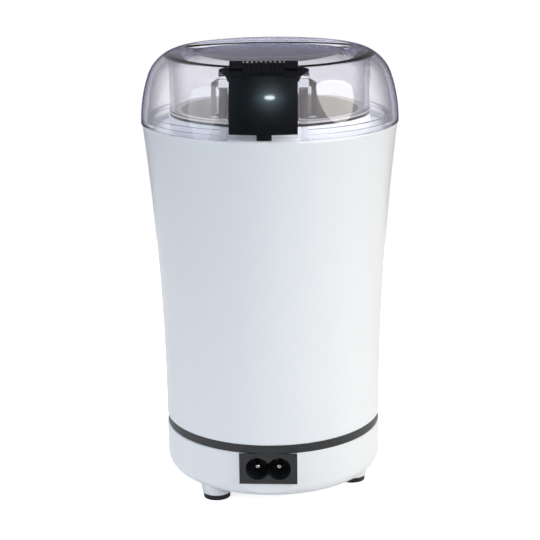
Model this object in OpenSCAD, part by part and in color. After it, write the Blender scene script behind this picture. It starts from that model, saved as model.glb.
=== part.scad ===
// Electric spice grinder with a waisted housing, a clear domed lid and a press button.
// Millimetres. Z is up and z = 0 is the table under the feet. The front, with the
// button and the mains inlet, faces -Y.

/* [Housing] */
// Outer radius of the housing at its waist
body_waist_r = 44; // [43:0.5:48]
// How much wider the rim is than the waist, on the radius
body_flare = 6.5; // [5:0.5:9]
// Height of the housing from the trim band to the rim
body_h = 121; // [116:1:140]
// Height of the waist above the housing's lower edge
waist_rise = 6; // [2:1:20]
// Thickness of the housing's outer wall
body_wall = 2.5; // [2:0.1:3]
// Rounding of the rim's outer edge
rim_round = 1; // [0.5:0.1:1.5]
// Rounding of the edges that meet the trim band
band_edge_r = 0.5; // [0.3:0.1:0.8]
// Depth of the recessed deck below the rim
deck_drop = 2.5; // [2:0.1:3.5]
// Thickness of the deck
deck_t = 2.4; // [2:0.1:3]
// Height of the bowl's neck above the rim
neck_h = 3.4; // [2.5:0.1:5]
// Wall of the well that the bowl hangs in
well_wall = 2; // [1.6:0.1:2.5]
// Thickness of the well's floor
well_floor_t = 3; // [2.5:0.1:4]

/* [Base] */
// Height of the base's underside above the table
base_gap = 6.6; // [5:0.1:9]
// Height of the base from its underside to the trim band
base_h = 19; // [18:0.5:24]
// Rounding of the base's lower edge
base_edge_r = 5.5; // [4:0.5:7]
// Wall and floor thickness of the base
base_wall = 2.4; // [2:0.1:3]
// Number of cooling slots in the base's floor
vent_count = 12; // [8:1:14]
// Width of a cooling slot
vent_w = 2.2; // [1.5:0.1:3]
// Radius where the cooling slots begin
vent_in_r = 9; // [7:0.5:12]
// Radius where the cooling slots end
vent_out_r = 22; // [18:0.5:24]

/* [Trim band] */
// Height of the dark band between the base and the housing
band_h = 3.5; // [3:0.1:6]
// How far the band's face lies behind the housing's
band_inset = 0.3; // [0.1:0.1:0.8]
// Height of the lips that centre the band
lip_h = 2; // [1.5:0.1:3]
// Thickness of the centring lips
lip_t = 1.3; // [1:0.1:1.6]

/* [Feet] */
// Number of feet
foot_count = 3; // [3]
// Room between a foot's screw post and the band's inner lip
post_room = 1.7; // [1.2:0.1:3]
// Turn of the first foot from the front, towards -X
foot_turn = 41; // [35:1:45]
// Radius of a rubber foot pad
pad_r = 5.4; // [4.5:0.1:5.6]
// Height of rubber that shows under the foot
pad_h = 2.2; // [1.5:0.1:3]
// Outer radius of the foot boss at the pad
boss_r = 5.8; // [5.6:0.1:6]
// How much wider the foot boss is at the base, on the radius
boss_flare = 0.7; // [0.2:0.1:0.9]
// Length of the pad's stem
stem_h = 2.5; // [2:0.1:3]

/* [Base screws] */
// Radius of the screw's shank
screw_r = 1.45; // [1.2:0.05:1.6]
// Radius of the screw's head
screw_head_r = 2.8; // [2.5:0.1:3]
// Height of the screw's head
screw_head_h = 2.2; // [1.8:0.1:2.5]
// Height of the head's seat above the table
screw_seat_z = 11.5; // [10.5:0.5:13]
// Depth of thread in the housing's post
thread_h = 14; // [10:1:18]
// Outer radius of a screw post
post_r = 4.8; // [4.5:0.1:5]

/* [Mains inlet] */
// Width of the inlet's flange
inlet_w = 22.8; // [21:0.2:25]
// Height of the inlet's flange
inlet_h = 12.6; // [12:0.2:13]
// Depth of the flat facet that is cut into the base's front
facet_cut = 1; // [0.5:0.1:1.5]
// Thickness of the flange in front of the facet
inlet_flange_t = 0.7; // [0.6:0.1:1.5]
// Width of the flange beyond the inlet's body, on each side
inlet_border = 1.4; // [1:0.1:2]
// Depth of the inlet's body behind the facet
inlet_depth = 15.5; // [14:0.5:16]
// Radius of one lobe of the figure-8 socket
lobe_r = 4.6; // [4.4:0.05:4.8]
// Depth of the socket
socket_depth = 12; // [11:0.5:13]
// Distance between the two pins
pin_pitch = 8.6; // [8.6]
// Radius of a pin
pin_r = 1.18; // [1.18]
// Length of a pin inside the socket
pin_l = 10; // [9:0.5:10.5]
// Height of the web that joins the two lobes
socket_web_h = 5; // [4:0.1:5.4]

/* [Bowl] */
// Room between the bowl's inside and the housing's waist
bowl_room = 8.8; // [8.4:0.1:10]
// Inner depth of the bowl
bowl_depth = 42; // [38:0.5:46]
// Thickness of the bowl's steel
bowl_t = 0.8; // [0.6:0.1:1]
// Radius of the bowl's lower corner
bowl_corner_r = 9; // [6:0.5:12]
// Width of the bowl's rolled flange
bowl_flange_w = 3.6; // [3:0.1:4]
// Thickness of the rubber gasket under the flange
gasket_t = 1; // [0.8:0.1:1.5]

/* [Blades] */
// Radius swept by the lower blade
blade_low_r = 27; // [22:0.5:30]
// Radius swept by the upper blade
blade_up_r = 25; // [20:0.5:28]
// Thickness of a blade
blade_t = 1.2; // [1:0.1:1.5]
// Width of a blade at its hub
blade_w = 12; // [10:0.5:14]
// Width of a blade at its tip
blade_tip_w = 6.5; // [5:0.5:8]
// Radius where a blade's wing starts to bend
blade_bend_r = 12; // [10:0.5:14]
// Bend of the lower blade's wings, downwards
blade_low_bend = 4; // [0:0.5:5]
// Bend of the upper blade's wings, upwards
blade_up_bend = 28; // [15:1:40]
// Height of the blade hub above the bowl's floor
blade_rise = 4.2; // [4:0.1:7]
// Thickness of the washer on the blades
washer_t = 1; // [0.8:0.1:1.5]
// Distance across the nut's flats
nut_flats = 8; // [7:0.5:10]
// Height of the domed nut's hexagon
nut_h = 3.5; // [3:0.1:5]

/* [Motor] */
// Radius of the motor shaft
shaft_r = 2.5; // [2:0.1:3]
// Step down of the shaft's radius at the blades
shaft_step = 0.5; // [0.3:0.1:0.7]
// Width of the stator across the shaft
stator_w = 50; // [48:0.5:52]
// Depth of the stator from front to back
stator_d = 44; // [43:0.5:46]
// Height of the stator stack
stator_h = 25; // [20:1:30]
// Radius that rounds the stator's corners, from the shaft
stator_corner_r = 29; // [28:0.5:30]
// Radius of the armature
armature_r = 15.8; // [15:0.1:16]
// Air gap between armature and stator
air_gap = 0.6; // [0.5:0.1:0.8]
// Number of slots in the armature
armature_slots = 12; // [8:1:14]
// Height of the windings beyond the stack
winding_h = 6; // [5:0.5:7]
// Radius of the armature's end windings
winding_r = 13; // [11:0.5:13.4]
// Radius of the commutator
commutator_r = 9; // [8:0.5:10]
// Height of the commutator
commutator_h = 9; // [8:0.5:11]
// Outer radius of a bearing
bearing_r = 5.5; // [4.8:0.1:6]
// Height of a bearing
bearing_h = 8; // [6:0.5:10]
// Thickness of the motor brackets' steel
bracket_t = 2; // [1.5:0.1:2.5]
// Width of a motor bracket's arms
bracket_w = 14; // [12:0.5:16]
// Height of the rubber grommets over the upper bracket
grommet_h = 2.5; // [2:0.1:4]
// Length of the screw bosses under the well
motor_boss_h = 5; // [4:0.5:8]
// Distance of the motor screws from the shaft
motor_screw_x = 15.2; // [15:0.1:16]
// Radius of the cooling fan
fan_r = 21; // [18:0.5:23]
// Height of the cooling fan
fan_h = 7; // [5:0.5:8]
// Number of fan blades
fan_count = 9; // [6:1:12]

/* [Press button] */
// Width of the button's front face
button_w = 25.2; // [22:0.2:27]
// Width of the button's cap across its ears
cap_w = 32.4; // [31:0.2:36]
// Travel of the button
button_travel = 2.2; // [1.5:0.1:2.3]
// Thickness of the button's front face
button_t = 2.6; // [2:0.1:3.2]
// Gap between the button's lower edge and the housing's rim
button_lift = 2.6; // [2.5:0.1:4]
// Width of the tongue under the button
tongue_w = 5.5; // [4.5:0.1:7]
// Thickness of the tongue
tongue_t = 2.4; // [2:0.1:2.8]
// Height of the crease where the cap begins, below the lid's top
crease_drop = 5.5; // [5:0.1:6]
// Height of the curved web under each ear
ear_drop = 3; // [2.4:0.1:3.2]
// Number of grip ribs on the cap
grip_count = 9; // [5:1:11]
// Distance between grip ribs
grip_pitch = 1.7; // [1.5:0.1:2]

/* [Clear lid] */
// How far the lid stands out over the housing's rim
lid_overhang = 0.4; // [0.2:0.1:1]
// Height of the lid above the housing's rim
lid_h = 28.9; // [28:0.1:33]
// Radius of the lid's side, seen from the side
lid_side_r = 56; // [52:1:80]
// Radius of the lid's shoulder
lid_shoulder_r = 16; // [14:0.5:17]
// Wall thickness of the lid
lid_t = 2.4; // [2:0.1:2.8]
// Depth of the dish in the top of the lid
dish_depth = 2.2; // [1:0.1:3]
// Width of the slope around the dish
dish_slope = 1.8; // [1:0.2:6]
// Thickness of the rails beside the button
rail_t = 3; // [2.4:0.1:3.2]
// Width of a rail's upper part
rail_w = 6; // [5.6:0.1:6.6]
// Height above the rim where the rails widen
rail_step = 8; // [6:0.5:10]
// Thickness of the skirt that shuts the bowl
skirt_t = 1.8; // [1.5:0.1:2.2]

/* [Switch] */
// Radius of the push rod
rod_r = 1.6; // [1.4:0.1:1.8]
// Radius of the push rod's collar
collar_r = 2.6; // [2.3:0.1:2.7]
// Wire radius of the return spring
rod_wire_r = 0.3; // [0.25:0.05:0.35]
// Number of turns in the return spring
rod_turns = 8; // [6:1:9]
// Room between the field coils and the switch
switch_room = 0.9; // [0.5:0.1:2.5]
// Height of the switch
switch_h = 10.2; // [9:0.2:12]
// Thickness of the switch
switch_w = 6.4; // [5.5:0.1:7]
// Upward slope of the switch lever at rest
lever_slope = 8; // [8:0.5:10]
// Thickness of the switch lever
lever_t = 0.5; // [0.4:0.05:0.6]
// Radius of the lever's rolled hinge end
lever_barrel_r = 0.9; // [0.8:0.05:1.1]
// Radius of the switch's plunger
plunger_r = 1.1; // [0.9:0.1:1.3]

/* [Clearances] */
// Radial running clearance of shafts, pins and rods
run_fit = 0.06; // [0.04:0.01:0.08]
// Gap between pieces that move past each other
slide_gap = 0.35; // [0.3:0.05:0.5]
// Gap between a piece and the seat that it rests in
seat_gap = 0.2; // [0.1:0.05:0.3]
// Gap between a spring or a plunger and what it touches
touch_gap = 0.1; // [0.05:0.01:0.15]

/* [Hidden] */
$fn = 96;
small_fn = 40;
sweep_fn = 720;
cut = 1;

// Heights, from the table upwards
z_base_top = base_gap + base_h;
z_band_top = z_base_top + band_h;
z_waist = z_band_top + waist_rise;
z_rim = z_band_top + body_h;
z_deck = z_rim - deck_drop;
z_neck = z_rim + neck_h;
z_flange = z_neck + gasket_t;
z_bowl_top = z_flange + bowl_t;
z_bowl_floor = z_bowl_top - bowl_depth;
z_well_floor = z_bowl_floor - bowl_t - seat_gap;
z_well_under = z_well_floor - well_floor_t;
z_boss_under = z_well_under - motor_boss_h;
z_bracket = z_boss_under - grommet_h;
z_lid_top = z_rim + lid_h;

// Radii of the housing
rim_r = body_waist_r + body_flare;
sweep_rise = z_rim - z_waist;
sweep_r = (pow(sweep_rise, 2) + pow(body_flare, 2)) / (2 * body_flare);
function body_r(z) = body_waist_r + sweep_r - sqrt(pow(sweep_r, 2) - pow(z - z_waist, 2));
well_gap = 0.5;
bowl_r = body_waist_r - bowl_room;
well_in_r = bowl_r + bowl_t + well_gap;
well_out_r = well_in_r + well_wall;
bowl_flange_r = bowl_r + bowl_t + bowl_flange_w;
neck_out_r = bowl_flange_r + seat_gap;
post_rib_half = 1.2;

// Trim band and the lips that centre it
band_out_r = body_waist_r - band_inset;
spigot_in_r = body_waist_r - body_wall - seat_gap - lip_t;
spigot_out_r = spigot_in_r + lip_t;
foot_circle_r = spigot_in_r - post_r - post_room;

// Feet and screw posts
post_bore_r = screw_r + seat_gap;
pilot_r = screw_r + run_fit;
counterbore_r = screw_head_r + seat_gap;
z_posts_meet = z_band_top + lip_h + seat_gap;
z_post_top = z_posts_meet + thread_h + 2;
foot_step = 360 / foot_count;

// Mains inlet
facet_y = body_waist_r - facet_cut;
inlet_z = z_base_top - inlet_h / 2;
inlet_body_w = inlet_w - 2 * inlet_border;
inlet_body_h = inlet_h - 2 * inlet_border;
inlet_face_y = facet_y + inlet_flange_t;
pin_recess = socket_depth - pin_l;
pin_shank_r = pin_r + 0.4;
socket_floor_y = -inlet_face_y + socket_depth;
inlet_back_t = 1.2;
tail_l = 4;
lead_r = 0.8;
lead_bend = 2.4;
lead_swing = 10;
lead_turn = 4;
side_hint = [1, 0.2, 0];

// Motor stack, from the well downwards
bush_flange_r = 8;
bush_flange_t = 1.5;
bush_stem_r = 5;
seal_r = 4.4;
seal_t = 1.3;
hub_gap = 1;
z_blades = z_bowl_floor + blade_rise;
z_up_bearing_top = z_bracket - seat_gap;
z_up_boss = z_up_bearing_top - bearing_h;
z_stator_top = z_up_boss - hub_gap - winding_h - hub_gap;
z_stator = z_stator_top - stator_h;
z_winding = z_stator - winding_h;
z_commutator = z_winding - hub_gap - commutator_h;
z_low_bearing_top = z_commutator - hub_gap;
z_low_bracket = z_low_bearing_top - bearing_h - bracket_t;
z_fan_top = z_low_bracket - 2 * hub_gap;
z_shaft = z_fan_top - fan_h - hub_gap;
bracket_boss_r = bearing_r + 2.5;
leg_out_x = stator_w / 2 - hub_gap;
foot_in_x = leg_out_x - 7.6;
bolt_x = (leg_out_x + foot_in_x - bracket_t) / 2;
bolt_r = 1.5;
bolt_head_r = 2.6;
bolt_head_h = 1.8;
bore_r = armature_r + air_gap;
blade_bore_r = shaft_r - shaft_step;
washer_r = 5.5;
grommet_r = 4.2;
motor_screw_head_h = 2;

// Field coils, wound round the front and the back pole
coil_in_x = 12.3;
coil_t = 5.2;
coil_in_y = winding_r + 0.8;
coil_out_y = coil_in_y + 4.9;
coil_slot_gap = 0.3;
coil_short = 0.6;
slot_depth = 4.5;
slot_half = 0.7;
bar_slot = 0.6;
vane_root = 0.5;
vane_half = 0.7;
cup_floor = 0.6;
screw_bite = 0.5;
nut_chamfer = 0.3;
nut_crown = 0.5;
bush_nose = 0.9;
up_bracket_h = z_bracket - z_stator_top;
low_bracket_h = z_stator - z_low_bracket;

// Brushes
brush_z = z_commutator + commutator_h / 2;
brush_w = 5;
brush_h = 6;
brush_l = 6;
brush_in_x = commutator_r + run_fit;
holder_wall = 0.8;
holder_in_x = commutator_r + hub_gap;
holder_out_x = leg_out_x - bracket_t;
brush_spring_r = 2;
brush_wire_r = 0.25;
brush_turns = 4;

// Lid
lid_r = rim_r + lid_overhang;
shoulder_rise = lid_h - lid_shoulder_r;
side_cx = lid_r - lid_side_r;
shoulder_cx = side_cx + sqrt(pow(lid_side_r - lid_shoulder_r, 2) - pow(shoulder_rise, 2));
z_shoulder = z_rim + shoulder_rise;
function dome_r(z) = z < z_rim + shoulder_rise * lid_side_r / (lid_side_r - lid_shoulder_r)
    ? side_cx + sqrt(pow(lid_side_r, 2) - pow(z - z_rim, 2))
    : shoulder_cx + sqrt(pow(lid_shoulder_r, 2) - pow(z - z_shoulder, 2));
skirt_out_r = bowl_flange_r - seat_gap;
z_skirt = z_bowl_top + slide_gap;
seat_w = 3.6;
lip_foot = 0.5;
lid_lip_r = body_r(z_rim) - body_wall - slide_gap;
notch_half = button_w / 2 + slide_gap;
pocket_t = 1.6;
notch_y = neck_out_r + slide_gap + pocket_t;
cap_half = cap_w / 2;
cap_back_y = notch_y - pocket_t - seat_gap;
cap_under = 4.6;
z_cap = z_lid_top - cap_under;
z_ceiling = z_lid_top - dish_depth - lid_t;
z_crease = z_lid_top - crease_drop;
crease_r = side_cx + sqrt(pow(lid_side_r, 2) - pow(z_crease - z_rim, 2));
cap_proud = 0.4;
z_cap_back = z_shoulder + sqrt(pow(lid_shoulder_r, 2) - pow(cap_back_y - shoulder_cx, 2)) + cap_proud;
cap_slope = (z_cap_back - z_crease) / (crease_r - cap_back_y);
ear_root = 0.5;
ear_web = 0.3;
rail_slot = 1.2;

// Tongue, push rod and switch, in front of the well
rod_gap = 1.2;
rod_y = well_out_r + rod_gap + rod_r;
tongue_y = notch_y + seat_gap + tongue_t / 2;
z_face = z_rim + button_lift;
tongue_end = 1.6;
z_tongue = z_deck - deck_t - tongue_end;
pad_t = 2;
z_pad = z_tongue - seat_gap;
z_collar = z_pad - pad_t - 4;
collar_t = 1.5;
spring_l = 13;
z_guide = z_collar - collar_t - spring_l - 0.4;
guide_t = 3;
guide_lip = 1.2;
guide_half = 4.5;
switch_nose = 1.6;
switch_tail = 1.9;
switch_back_y = coil_out_y + switch_room;
pivot_y = switch_back_y + switch_tail;
switch_l = rod_y - pivot_y;
switch_front_y = rod_y - switch_nose;
z_lever = z_well_under - 9;
z_switch = z_lever - lever_barrel_r + 0.3;
lever_reach = switch_l + 2;
lever_half = 2.4;
plunger_y = pivot_y + 6;
plunger_stem = 4;
plunger_top = z_lever + (plunger_y - pivot_y - plunger_r) * tan(lever_slope) - touch_gap;
switch_hole_r = 0.9;
switch_head_r = 1.7;
switch_head_h = 1.2;
rib_t = 2.4;
ear_half = 1.7;
z_ear = z_lever + 1.4;
tab_l = 4;
tab_t = 0.6;
tab_half = 1.6;
hole_web = 0.4;
tab_inset = 3.5;
z_rod = z_lever + switch_l * tan(lever_slope) + lever_t / cos(lever_slope) + seat_gap;

// ---------------------------------------------------------------- helpers

// Tube between two heights
module tube(r_out, r_in, z0, z1) {
    translate([0, 0, z0]) difference() {
        cylinder(r = r_out, h = z1 - z0);
        translate([0, 0, -cut]) cylinder(r = r_in, h = z1 - z0 + 2 * cut);
    }
}

// Cylinder between two heights
module rod(r, z0, z1) {
    translate([0, 0, z0]) cylinder(r = r, h = z1 - z0);
}

// Box given by its two corners
module box(low, high) {
    translate(low) cube(high - low);
}

// Children at the place of each foot
module at_feet() {
    for (i = [0 : foot_count - 1])
        rotate([0, 0, i * foot_step - foot_turn])
            translate([0, -foot_circle_r, 0]) children();
}

// Children mirrored to the other side of the plane across an axis
module both_sides(axis) {
    children();
    mirror(axis) children();
}

// Coil spring: one round wire wound up the Z axis, ends square to the wire
module coil_spring(r, wire_r, length, turns) {
    sides = 6;
    steps = turns * 12;
    rise = length - 2 * wire_r;
    ring = [for (i = [0 : steps], j = [0 : sides - 1])
        let (a = 360 * turns * i / steps, b = 360 * j / sides, d = r + wire_r * cos(b))
        [d * cos(a), d * sin(a), wire_r + rise * i / steps + wire_r * sin(b)]];
    first = [for (j = [0 : sides - 1]) j];
    last = [for (j = [0 : sides - 1]) steps * sides + sides - 1 - j];
    skin = [for (i = [0 : steps - 1], j = [0 : sides - 1], half = [0, 1])
        let (k = (j + 1) % sides, p = i * sides, q = p + sides)
        half == 0 ? [p + j, q + j, q + k] : [p + j, q + k, p + k]];
    polyhedron(points = ring, faces = concat([first], [last], skin), convexity = turns);
}

// ---------------------------------------------------------------- housing

// Half section of the space inside the housing's outer surface, moved in by inset
module body_section(inset, z0, z1) {
    difference() {
        translate([0, z0]) square([rim_r + cut, z1 - z0]);
        translate([body_waist_r + sweep_r, z_waist])
            circle(r = sweep_r + inset, $fn = sweep_fn);
    }
}

// Square corner with its round taken out, to be cut from an edge whose side stands at radius side_r
module edge_corner(side_r, z, round_r, up) {
    translate([side_r - round_r, z - up * round_r]) mirror([0, up > 0 ? 0 : 1]) difference() {
        square([round_r + cut, round_r + cut]);
        circle(r = round_r, $fn = small_fn);
    }
}

// Outer wall, deck, neck and well as one turned section
module housing_section() {
    difference() {
        body_section(0, z_band_top, z_rim);
        difference() {
            body_section(body_wall, z_band_top - cut, z_rim + cut);
            translate([well_in_r, z_deck - deck_t]) square([rim_r, deck_t]);
            translate([well_in_r, z_well_under]) square([well_wall, z_rim - z_well_under]);
            translate([0, z_well_under]) square([well_out_r, well_floor_t]);
        }
        edge_corner(body_r(z_rim - rim_round), z_rim, rim_round, 1);
        edge_corner(body_r(z_band_top + band_edge_r), z_band_top, band_edge_r, -1);
    }
    translate([well_in_r, z_deck - deck_t])
        square([neck_out_r - well_in_r, z_neck - z_deck + deck_t]);
}

// Post for a base screw, with a rib that ties it to the wall
module housing_post() {
    rod(post_r, z_posts_meet, z_post_top);
    reach = body_waist_r - body_wall / 2 - foot_circle_r;
    box([-post_rib_half, -reach, z_posts_meet + lip_t], [post_rib_half, 0, z_post_top]);
}

module housing() {
    color("white") difference() {
        union() {
            rotate_extrude() housing_section();
            at_feet() housing_post();
            both_sides([1, 0, 0]) translate([motor_screw_x, 0, 0])
                rod(grommet_r, z_boss_under, z_well_under + cut);
            switch_rib();
            rod_guide();
        }
        at_feet() rod(pilot_r, z_posts_meet - cut, z_posts_meet + thread_h);
        both_sides([1, 0, 0]) translate([motor_screw_x, 0, 0])
            rod(bolt_r + run_fit, z_boss_under - cut, z_well_under + 1);
        rod(bush_stem_r + run_fit, z_well_under - cut, z_well_floor + cut);
        tongue_slot();
        translate([0, -rod_y, 0]) rod(rod_r + run_fit, z_guide - cut, z_guide + guide_t + cut);
        switch_holes(switch_w / 2 - cut, switch_w / 2 + rib_t - hole_web, switch_hole_r + run_fit);
    }
}

// Slot in the deck that the button's tongue drops through
module tongue_slot() {
    half = tongue_w / 2 + slide_gap;
    box([-half, -tongue_y - tongue_t / 2 - slide_gap, z_deck - deck_t - cut],
        [half, -tongue_y + tongue_t / 2 + slide_gap, z_deck + cut]);
}

// Shelf on the outside of the well, which guides the push rod
module rod_guide() {
    box([-guide_half, -rod_y - rod_r - guide_lip, z_guide],
        [guide_half, -well_out_r + well_wall / 2, z_guide + guide_t]);
}

// Rib under the well that the switch is screwed to
module switch_rib() {
    x0 = switch_w / 2;
    box([x0, -switch_front_y, z_switch - switch_h], [x0 + rib_t, -switch_back_y, z_well_under + cut]);
}

// The two holes through the switch, as cylinders from x0 to x1
module switch_holes(x0, x1, r) {
    for (y = [switch_back_y + 5, switch_front_y - 5])
        translate([x0, -y, z_switch - switch_h + 3])
            rotate([0, 90, 0]) cylinder(r = r, h = x1 - x0, $fn = small_fn);
}

// ---------------------------------------------------------------- base

// Half section of the base, outline moved in by inset
module base_section(inset) {
    edge = base_edge_r;
    r = body_waist_r - inset;
    z0 = base_gap + inset;
    c = edge - inset;
    translate([0, z0]) square([r - c, z_base_top - z0]);
    translate([0, z0 + c]) square([r, z_base_top - z0 - c]);
    translate([r - c, z0 + c]) circle(r = c);
}

module base_cup() {
    color("white") difference() {
        union() {
            intersection() {
                rotate_extrude() difference() {
                    base_section(0);
                    base_section(base_wall);
                    translate([0, z_base_top - cut]) square([body_waist_r - base_wall, 2 * cut]);
                    edge_corner(body_waist_r, z_base_top, band_edge_r, 1);
                }
                box([-2 * rim_r, -facet_y, 0], [2 * rim_r, 2 * rim_r, z_rim]);
            }
            inlet_pad();
            tube(body_waist_r - base_wall + hole_web, spigot_in_r, z_base_top - lip_h, z_base_top);
            tube(spigot_out_r, spigot_in_r, z_base_top - lip_h, z_base_top + lip_h - seat_gap);
            at_feet() {
                translate([0, 0, pad_h])
                    cylinder(r1 = boss_r, r2 = boss_r + boss_flare, h = base_gap + base_wall / 2 - pad_h);
                rod(post_r, base_gap + base_wall / 2, z_posts_meet);
            }
        }
        at_feet() {
            rod(counterbore_r, pad_h - cut, screw_seat_z);
            rod(post_bore_r, pad_h, z_posts_meet + cut);
        }
        inlet_window(seat_gap, -spigot_in_r + inlet_depth);
        cooling_slots();
    }
}

// Pad behind the flange, which fills the space up to the facet
module inlet_pad() {
    box([-inlet_w / 2, -facet_y, inlet_z - inlet_h / 2],
        [inlet_w / 2, -facet_y + base_wall + inlet_back_t, inlet_z + inlet_h / 2]);
}

// Block that opens the wall for the inlet's body
module inlet_window(gap, y_back) {
    half_w = inlet_body_w / 2 + gap;
    half_h = inlet_body_h / 2 + gap;
    box([-half_w, -facet_y - cut, inlet_z - half_h], [half_w, y_back, inlet_z + half_h]);
}

// Radial slots that let cooling air in through the floor
module cooling_slots() {
    for (i = [0 : vent_count - 1])
        rotate([0, 0, i * 360 / vent_count])
            box([-vent_w / 2, vent_in_r, base_gap - cut],
                [vent_w / 2, vent_out_r, base_gap + base_wall + cut]);
}

module trim_band() {
    color("dimgray") {
        tube(band_out_r, spigot_out_r + seat_gap, z_base_top, z_band_top);
        tube(spigot_out_r + 2 * seat_gap, spigot_in_r, z_base_top + lip_h, z_band_top);
        tube(spigot_out_r, spigot_in_r, z_base_top + lip_h, z_band_top + lip_h);
    }
}

module foot_pads() {
    color("black") at_feet() {
        rod(pad_r, 0, pad_h);
        rod(counterbore_r - run_fit, pad_h - cut, pad_h + stem_h);
    }
}

module base_screws() {
    color("silver") at_feet() {
        rod(screw_head_r, screw_seat_z - screw_head_h, screw_seat_z);
        rod(screw_r, screw_seat_z - cut, z_posts_meet + thread_h - 1);
    }
}

// ---------------------------------------------------------------- mains inlet

module inlet_housing() {
    color("dimgray") difference() {
        union() {
            box([-inlet_w / 2, -inlet_face_y, inlet_z - inlet_h / 2],
                [inlet_w / 2, -facet_y, inlet_z + inlet_h / 2]);
            box([-inlet_body_w / 2, -facet_y - inlet_flange_t / 2, inlet_z - inlet_body_h / 2],
                [inlet_body_w / 2, -facet_y + inlet_depth, inlet_z + inlet_body_h / 2]);
        }
        both_sides([1, 0, 0]) along_pin(lobe_r, -inlet_face_y - cut, socket_floor_y);
        box([-lobe_r, -inlet_face_y - cut, inlet_z - socket_web_h / 2],
            [lobe_r, socket_floor_y, inlet_z + socket_web_h / 2]);
        both_sides([1, 0, 0])
            along_pin(pin_shank_r + run_fit, -inlet_face_y, -facet_y + inlet_depth + cut);
    }
}

// Cylinder on a pin's axis, between two distances along Y
module along_pin(r, y0, y1) {
    translate([pin_pitch / 2, y0, inlet_z]) rotate([-90, 0, 0]) cylinder(r = r, h = y1 - y0);
}

// Round-tipped pins, each with a thicker shank that the inlet holds
module inlet_pins() {
    tip_y = -inlet_face_y + pin_recess + pin_r;
    color("silver") both_sides([1, 0, 0]) {
        along_pin(pin_r, tip_y, socket_floor_y + cut);
        along_pin(pin_shank_r, socket_floor_y, -facet_y + inlet_depth + tail_l);
        translate([pin_pitch / 2, tip_y, inlet_z]) sphere(r = pin_r);
    }
}

// Round wire swept along a list of points, its rings square to the bends
module lead(points, r) {
    sides = 8;
    count = len(points);
    rings = [for (i = [0 : count - 1])
        let (before = points[max(i - 1, 0)], after = points[min(i + 1, count - 1)],
             way = (after - before) / norm(after - before),
             across = cross(way, side_hint), u = across / norm(across), v = cross(way, u))
        for (j = [0 : sides - 1]) points[i] + r * (cos(360 * j / sides) * u + sin(360 * j / sides) * v)];
    first = [for (j = [0 : sides - 1]) sides - 1 - j];
    last = [for (j = [0 : sides - 1]) (count - 1) * sides + j];
    skin = [for (i = [0 : count - 2], j = [0 : sides - 1], half = [0, 1])
        let (k = (j + 1) % sides, p = i * sides, q = p + sides)
        half == 0 ? [p + j, q + k, q + j] : [p + j, p + k, q + k]];
    polyhedron(points = rings, faces = concat([last], [first], skin));
}

// Two leads: one up to the switch's front tab, one up to the front field coil
module inlet_leads() {
    x0 = pin_pitch / 2;
    tail_y = -facet_y + inlet_depth + tail_l + touch_gap;
    bend_y = tail_y + 2 * lead_r;
    swing_y = tail_y - lead_turn;
    tab_y = -switch_front_y + tab_inset;
    z_tab = z_switch - switch_h - tab_l - touch_gap;
    z_turn = z_stator_top + lead_turn;
    coil_y = -coil_out_y - touch_gap;
    z_coil = z_stator - winding_h / 2 + lead_r;
    color("saddlebrown") {
        lead([[x0, tail_y, inlet_z], [x0, bend_y, inlet_z],
              [x0 + lead_bend, bend_y - lead_r, inlet_z + lead_bend],
              [x0 + lead_swing, swing_y, z_low_bracket], [x0 + lead_turn, tab_y + lead_turn, z_turn],
              [0, tab_y, z_tab - lead_turn], [0, tab_y, z_tab]], lead_r);
        lead([[-x0, tail_y, inlet_z], [-x0, bend_y, inlet_z],
              [-x0 - lead_bend, bend_y - lead_r, inlet_z + lead_bend],
              [-x0 - lead_swing, swing_y, z_low_bracket],
              [-x0 - lead_turn, coil_y - lead_turn, z_coil - lead_turn],
              [-x0 - lead_bend, coil_y - lead_bend, z_coil], [-x0 - lead_bend, coil_y, z_coil]], lead_r);
    }
}

// ---------------------------------------------------------------- bowl

module bowl_section() {
    c = bowl_corner_r;
    r_out = bowl_r + bowl_t;
    z_under = z_bowl_floor - bowl_t;
    difference() {
        union() {
            translate([0, z_under]) square([r_out - c, z_bowl_top - z_under]);
            translate([0, z_under + c]) square([r_out, z_bowl_top - z_under - c]);
            translate([r_out - c, z_under + c]) circle(r = c);
            translate([0, z_flange]) square([bowl_flange_r, bowl_t]);
        }
        translate([0, z_bowl_floor]) square([bowl_r - c + bowl_t, bowl_depth + cut]);
        translate([0, z_under + c]) square([bowl_r, bowl_depth + bowl_t - c + cut]);
        translate([r_out - c, z_under + c]) circle(r = c - bowl_t);
        translate([0, z_under - cut]) square([bush_stem_r + run_fit, bowl_t + 2 * cut]);
    }
}

module grinding_bowl() {
    color("lightgray") rotate_extrude() bowl_section();
}

module bowl_gasket() {
    color("black") tube(bowl_flange_r - seat_gap, bowl_r + bowl_t + seat_gap, z_neck, z_flange);
}

module bowl_bush() {
    color("black") difference() {
        union() {
            rod(bush_flange_r, z_bowl_floor, z_bowl_floor + bush_flange_t);
            rod(bush_stem_r, z_well_under - 2, z_bowl_floor + bush_flange_t / 2);
        }
        rod(shaft_r + slide_gap, z_well_under - 3, z_bowl_floor + bush_flange_t + cut);
        rod(seal_r + run_fit, z_bowl_floor + bush_flange_t - seal_t, z_bowl_floor + bush_flange_t + cut);
    }
}

module shaft_seal() {
    color("dimgray") tube(seal_r, shaft_r + run_fit, z_bowl_floor + bush_flange_t - seal_t,
                          z_bowl_floor + bush_flange_t + bush_nose);
}

// ---------------------------------------------------------------- blades

// Plan of a two-winged blade: a round hub with a wing that narrows to each side
module blade_plan(r) {
    circle(r = blade_w / 2);
    polygon([[-r, -blade_tip_w / 2], [0, -blade_w / 2], [r, -blade_tip_w / 2],
             [r, blade_tip_w / 2], [0, blade_w / 2], [-r, blade_tip_w / 2]]);
}

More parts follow.
